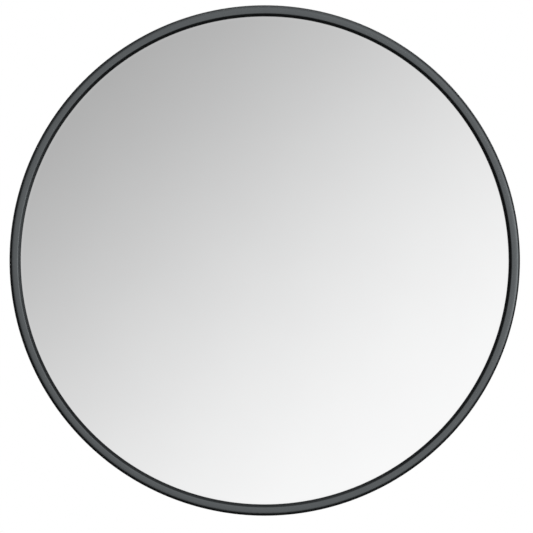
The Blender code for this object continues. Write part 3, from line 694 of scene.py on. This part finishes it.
def hexagon_bolt(node, name, axis):
    """A hexagon head chamfered by a cone, an underside washer face and a round shank."""
    size = Extent(node, axis)
    corner, height, shank = 7.5 * MM, 5.3 * MM, 4 * MM
    under = size.low + height
    flat = corner * math.cos(math.pi / 6)
    face = flat * 0.93  # radius of the flat that the chamfer leaves on top
    tip = 0.8 * MM
    edge = hexagon(corner)

    def within(limit):
        return lambda t: min(edge(t), limit)

    rings = [ring_of(circle(0.3 * MM), size.low), ring_of(circle(face), size.low)]
    for share in (0.2, 0.4, 0.6, 0.8, 1.0):
        rings.append(ring_of(within(face + (corner - face) * share), size.low + 0.95 * MM * share))
    rings += [ring_of(edge, under - 0.5 * MM), ring_of(within(corner * 0.96), under - 0.2 * MM)]
    rings += [ring_of(circle(flat * 0.97), under - 0.2 * MM), ring_of(circle(flat * 0.96), under)]
    rings += [ring_of(circle(shank), under), ring_of(circle(shank), size.high - tip)]
    rings += [ring_of(circle(shank - tip), size.high), ring_of(circle(0.3 * MM), size.high)]
    piece(loft(rings), name, node, axis, sharp=30)


def round_washer(node, name, axis):
    """A turned ring with eased edges, as long as its solid."""
    size = Extent(node, axis)
    section = rounded_ring(size.inside, size.outside, size.low, size.high, 0.3 * MM)
    piece(lathe(section, 96, ring=True), name, node, axis)


def rivet(node, name, along, across):
    """A smooth domed head, a shank and a flush countersunk head."""
    axis = axis_at(centre_of(node), along, across)
    size = Extent(node, axis)
    dome, rise, shank = 4.5 * MM, 2.2 * MM, 2.5 * MM
    sink = 1.6 * MM
    curve = (dome**2 + rise**2) / (2 * rise)
    spread = math.asin(dome / curve)
    middle = size.low + curve
    turns = [spread * i / 10 for i in range(11)]
    profile = [(curve * math.sin(t), middle - curve * math.cos(t)) for t in turns]
    seat = size.low + rise
    profile += [(shank, seat), (shank, size.high - sink), (4.2 * MM, size.high), (0, size.high)]
    piece(lathe(profile, 48), name, node, axis)


def rolled_pin(node, name, along, across):
    """A spring pin: rolled strip with a slot along it."""
    axis = axis_at(centre_of(node), along, across)
    size = Extent(node, axis)
    pin = split_ring(size.outside - 0.8 * MM, size.outside, size.low, size.high, 0.35, 0.0, 0.25 * MM, 40)
    piece(pin, name, node, axis)


def socket_screw(node, name):
    """A pan-head screw with a hexagon socket."""
    axis = axis_at(centre_of(node), FRONT, RIGHT)
    size = Extent(node, axis)
    head, height, shank, socket = 4.75 * MM, 3.2 * MM, 2.5 * MM, 1.75 * MM
    top, under = size.low, size.low + height
    six = hexagon(socket)
    depth, chamfer, edge = 2 * MM, 0.15 * MM, 0.2 * MM
    flat, crown_rise = head * 0.55, 2.2 * MM
    outline = [(lambda t: six(t) * 0.1, top + depth), (six, top + depth)]
    outline += [(six, top + chamfer), (lambda t: six(t) + chamfer, top), (circle(flat), top)]
    for i in range(1, 9):
        turn = math.pi / 2 * i / 8
        radius = flat + (head - flat) * math.sin(turn)
        outline.append((circle(radius), top + crown_rise * (1 - math.cos(turn))))
    outline += [(circle(head), under - edge), (circle(head - edge), under)]
    outline += [(circle(shank), under), (circle(shank), size.high - 0.8 * MM)]
    outline += [(circle(shank * 0.75), size.high), (circle(edge), size.high)]
    piece(loft([ring_of(reach, height, 48) for reach, height in outline]), name, node, axis)


def spring_washer(node, name):
    """A split ring that is a little sprung open."""
    axis = axis_at(centre_of(node), FRONT, RIGHT)
    size = Extent(node, axis)
    ring = split_ring(size.inside, size.outside, size.low, size.high, 0.14, 0.3 * MM, 0.12 * MM)
    piece(ring, name, node, axis)


# ---------------------------------------------------------------- building


def head_pieces():
    """Everything that turns with the mirror, but for its hinge."""
    mirror_face()
    edge_trim()
    foam_seal()
    back_shell()
    softened("stiffener_plate", "stiffener_disc", 0.4 * MM)
    softened("hub_plate", "hub_disc", 0.6 * MM)
    for number in range(1, 5):
        socket_screw(f"hub_screw_{number}", f"socket_screw_{number}")
        spring_washer(f"hub_lock_washer_{number}", f"spring_washer_{number}")
        softened(f"clinch_nut_{number}", f"hexagon_nut_{number}", 0.3 * MM)
    for number in (1, 2):
        rivet(f"head_rivet_{number}", f"domed_head_rivet_{number}", FRONT, RIGHT)
    softened("head_clevis", "head_fork", 0.5 * MM)


def arm_pieces():
    """The wall bracket, both tubes and the thumbscrew."""
    softened("wall_plate", "wall_mounting_plate", 0.5 * MM)
    softened("wall_clevis", "wall_fork", 0.5 * MM)
    for number in (1, 2):
        rivet(f"wall_rivet_{number}", f"domed_wall_rivet_{number}", BACK, RIGHT)
    softened("outer_tube", "coated_outer_tube", 0.3 * MM)
    softened("inner_tube", "plated_inner_tube", 0.3 * MM)
    softened("pan_knuckle", "pan_casting", 0.7 * MM)
    softened("tilt_knuckle", "tilt_casting", 0.7 * MM)
    softened("tube_collar", "moulded_collar", 0.3 * MM)
    softened("tube_glide", "nylon_glide", 0.4 * MM)
    rolled_pin("pan_knuckle_pin", "rolled_pan_pin", UP, RIGHT)
    rolled_pin("tilt_knuckle_pin", "rolled_tilt_pin", RIGHT, BACK)
    round_washer("lock_boss", "threaded_boss", LOCK)
    pad = Extent("lock_pad", LOCK)
    edge = 0.4 * MM
    profile = [(0, pad.low)] + arc((pad.outside - edge, pad.low + edge), edge, -90, 0, 4)
    profile += arc((pad.outside - edge, pad.high - edge), edge, 0, 90, 4) + [(0, pad.high)]
    piece(lathe(profile), "nylon_pad", "lock_pad", LOCK)
    screw = Extent("lock_screw", LOCK)
    tip = 0.6 * MM
    profile = [(0, screw.low), (screw.outside - tip, screw.low), (screw.outside, screw.low + tip)]
    profile += [(screw.outside, screw.high), (0, screw.high)]
    piece(lathe(profile), "thumbscrew_shank", "lock_screw", LOCK)
    fluted_grip("lock_knob_grip", "thumbscrew_grip", LOCK)


def pivot_pieces():
    """The bolt, washers and star knob of the pan hinge and of the tilt hinge."""
    for pivot, axis in (("pan", PAN), ("tilt", TILT)):
        hexagon_bolt(f"{pivot}_bolt", f"{pivot}_hexagon_bolt", axis)
        round_washer(f"{pivot}_head_washer", f"{pivot}_flat_washer_1", axis)
        round_washer(f"{pivot}_knob_washer", f"{pivot}_flat_washer_2", axis)
        round_washer(f"{pivot}_friction_washer_1", f"{pivot}_nylon_washer_1", axis)
        round_washer(f"{pivot}_friction_washer_2", f"{pivot}_nylon_washer_2", axis)
        round_washer(f"{pivot}_knob_insert", f"{pivot}_brass_bush", axis)
        star_grip(f"{pivot}_knob_grip", f"{pivot}_star_grip", axis)


head_pieces()
arm_pieces()
pivot_pieces()

# ---------------------------------------------------------------- stage, light and camera

HEAD_CENTRE = TILT_POINT + FRONT * TRIM.high
FLOOR_CENTRE = Vector((0, HEAD_CENTRE.y, -0.45))
FLOOR_RADIUS = 2.0
FLOOR_FADE = (0.35, 1.3)  # the floor turns into the backdrop between these radii


def floor():
    """A pale disc that fades to the white of the backdrop, and that shows from above only."""
    bm = bmesh.new()
    bmesh.ops.create_circle(bm, cap_ends=True, segments=128, radius=FLOOR_RADIUS)
    bmesh.ops.translate(bm, vec=FLOOR_CENTRE, verts=bm.verts)
    mesh = bpy.data.meshes.new("floor")
    bm.to_mesh(mesh)
    bm.free()
    look = Surface("pale_floor")
    mottle = look.noise(0.25, 3.0)
    look.set("Base Color", look.mix(look.remap(mottle, 0.0, 1.0), (0.56, 0.56, 0.56), (0.59, 0.59, 0.59)))
    look.set("Roughness", 0.7)
    away = look.vector("DISTANCE", look.place, tuple(FLOOR_CENTRE), "Value")
    fade = look.remap(away, 0.0, 1.0, *FLOOR_FADE)
    glow = look.node("ShaderNodeEmission", {"Color": (1, 1, 1, 1), "Strength": 1.0})
    blend = look.node("ShaderNodeMixShader", {0: fade, 1: look.shader.outputs[0], 2: glow.outputs[0]})
    under = look.node("ShaderNodeNewGeometry").outputs["Backfacing"]
    clear = look.node("ShaderNodeBsdfTransparent")
    shown = look.node("ShaderNodeMixShader", {0: under, 1: blend.outputs[0], 2: clear.outputs[0]})
    look.join(look.tree.nodes["Material Output"].inputs["Surface"], shown.outputs[0])
    mesh.materials.append(look.material)
    made = bpy.data.objects.new("floor", mesh)
    bpy.context.scene.collection.objects.link(made)
    made.visible_glossy = False
    made.visible_diffuse = False
    return made


# What the mirror sees: a cubic along a line across it that rises in brightness to the lower right
TONES = (0.7219, 0.3120, -0.0339, -0.0528)
TONE_SPAN = 0.475  # sine of the slope of the mirror at one unit along that line
TONE_REACH = 1.15  # brightness is level beyond this
TONE_DIRECTION = (math.cos(math.radians(49)), 0.0, -math.sin(math.radians(49)))
REFLECTANCE = 0.963
MIRROR_SIDES = (-0.25, 0.53, 0.3, 1.0)  # from the rear to the front, a share of that brightness

# What satin pieces see in front: its level, how fast it rises and which way
SATIN_FRONT = (0.70, 0.5, (0.92, 0.0, 0.39))
SATIN_LIMITS = (0.15, 1.25)
FRONT_CONE = (64, 57.5)  # the front fades in between these angles from the mirror's axis
SATIN_REAR = (-0.97, -0.72, 0.14, 0.01)  # from straight behind to the sides
AMBIENT = 0.10  # for diffuse light

# The other lights that satin pieces see: direction, inner and outer angle in degrees, strength
SOFT_BOXES = (
    ((0.93, -0.37, -0.02), 8, 26, 1.75),
    ((0.80, -0.40, 0.46), 6, 22, 0.5),
    ((0.80, -0.40, -0.46), 5, 20, 0.3),
    ((0.15, -0.25, 1.0), 20, 44, 0.5),
    ((-0.65, -0.25, 0.75), 8, 45, 0.1),
    ((0.42, 0.84, 0.34), 6, 17, 2.6),
    ((-0.45, 0.89, 0.05), 5, 15, 1.6),
    ((0.0, 0.85, 0.55), 8, 20, 0.6),
)


def studio_world():
    """White to the camera, a soft grey gradient to the mirror, and low light for everything else."""
    world = bpy.data.worlds.new("studio")
    world.use_nodes = True
    world.cycles.sampling_method = "NONE"
    bpy.context.scene.world = world
    look = Nodes(world.node_tree)
    look.tree.nodes.clear()

    def ease(value, start, end, low=0.0, high=1.0):
        inputs = {"Value": value, "From Min": start, "From Max": end, "To Min": low, "To Max": high}
        made = look.node("ShaderNodeMapRange", inputs, interpolation_type="SMOOTHSTEP")
        return made.outputs["Result"]

    def patch(toward, inner, outer, strength):
        """A soft-edged light of this strength, between two angles from a direction, in degrees."""
        dot = look.vector("DOT_PRODUCT", ray, Vector(toward).normalized(), "Value")
        return ease(dot, math.cos(math.radians(outer)), math.cos(math.radians(inner)), 0.0, strength)

    def clamp(value, low, high):
        return look.math("MINIMUM", look.math("MAXIMUM", value, low), high)

    def choose(share, first, second):
        return look.node("ShaderNodeMix", {0: share, 2: first, 3: second}).outputs[0]

    ray = look.node("ShaderNodeTexCoord").outputs["Generated"]
    half = look.vector("NORMALIZE", look.vector("ADD", ray, tuple(FRONT)))
    forward = look.vector("DOT_PRODUCT", ray, tuple(FRONT), "Value")

    along = look.vector("DOT_PRODUCT", half, TONE_DIRECTION, "Value")
    unit = clamp(look.math("DIVIDE", along, TONE_SPAN), -TONE_REACH, TONE_REACH)
    tone = TONES[-1]
    for factor in reversed(TONES[:-1]):
        tone = look.math("ADD", look.math("MULTIPLY", tone, unit), factor)
    tone = look.math("DIVIDE", tone, REFLECTANCE)
    mirrored = look.math("MULTIPLY", tone, ease(forward, *MIRROR_SIDES))

    surround = ease(forward, *SATIN_REAR)
    for box in SOFT_BOXES:
        surround = look.math("ADD", surround, patch(*box))
    level, slope, toward = SATIN_FRONT
    facing = look.math("MULTIPLY", look.vector("DOT_PRODUCT", half, toward, "Value"), slope)
    facing = clamp(look.math("ADD", facing, level), *SATIN_LIMITS)
    wide, narrow = (math.cos(math.radians(angle)) for angle in FRONT_CONE)
    satin = choose(ease(forward, wide, narrow), surround, facing)

    path = look.node("ShaderNodeLightPath").outputs
    glossy = choose(path["Is Singular Ray"], satin, mirrored)
    soft = choose(path["Is Glossy Ray"], AMBIENT, glossy)
    shade = choose(path["Is Camera Ray"], soft, 1.0)
    light = look.node("ShaderNodeBackground", {"Color": (1, 1, 1, 1), "Strength": shade})
    look.join(look.node("ShaderNodeOutputWorld").inputs["Surface"], light.outputs[0])


def soft_light(name, toward, distance, size, power, spared=None):
    """A square area light that faces the mirror head, shows in no piece and can spare one object."""
    data = bpy.data.lights.new(name, "AREA")
    data.size = size
    data.energy = power
    made = bpy.data.objects.new(name, data)
    direction = Vector(toward).normalized()
    made.location = HEAD_CENTRE + direction * distance
    made.rotation_euler = direction.to_track_quat("Z", "Y").to_euler()
    bpy.context.scene.collection.objects.link(made)
    made.visible_glossy = False
    if spared:
        group = bpy.data.collections.new(f"{name}_spares")
        group.objects.link(spared)
        group.collection_objects[0].light_linking.link_state = "EXCLUDE"
        made.light_linking.receiver_collection = group


def studio_lights(ground):
    """One light overhead for the shadow on the floor, and four on the object alone."""
    soft_light("top_light", (0.0, 0.15, 1.0), 2.2, 1.6, 70)
    soft_light("front_light", (0.35, -0.90, 0.15), 3.0, 1.4, 60, spared=ground)
    soft_light("right_light", (0.96, -0.22, 0.05), 3.0, 1.0, 40, spared=ground)
    soft_light("rear_right_light", (0.60, 0.70, 0.55), 3.0, 1.0, 170, spared=ground)
    soft_light("rear_left_light", (-0.85, 0.50, 0.15), 3.0, 1.0, 60, spared=ground)


def camera():
    """Square to the mirror on its own axis, framed a little off centre."""
    data = bpy.data.cameras.new("camera")
    data.sensor_width = 36.0  # mm, as is the lens
    distance = 3.0
    rim_share = 0.4798  # the rim's radius as a share of the frame
    data.lens = rim_share * data.sensor_width * distance / TRIM.outside
    data.shift_x = 0.0034
    data.shift_y = -0.0113
    made = bpy.data.objects.new("camera", data)
    made.location = HEAD_CENTRE + FRONT * distance
    made.rotation_euler = (math.pi / 2, 0, 0)
    bpy.context.scene.collection.objects.link(made)
    bpy.context.scene.camera = made


studio_world()
studio_lights(floor())
camera()
bpy.context.scene.view_settings.view_transform = "Standard"
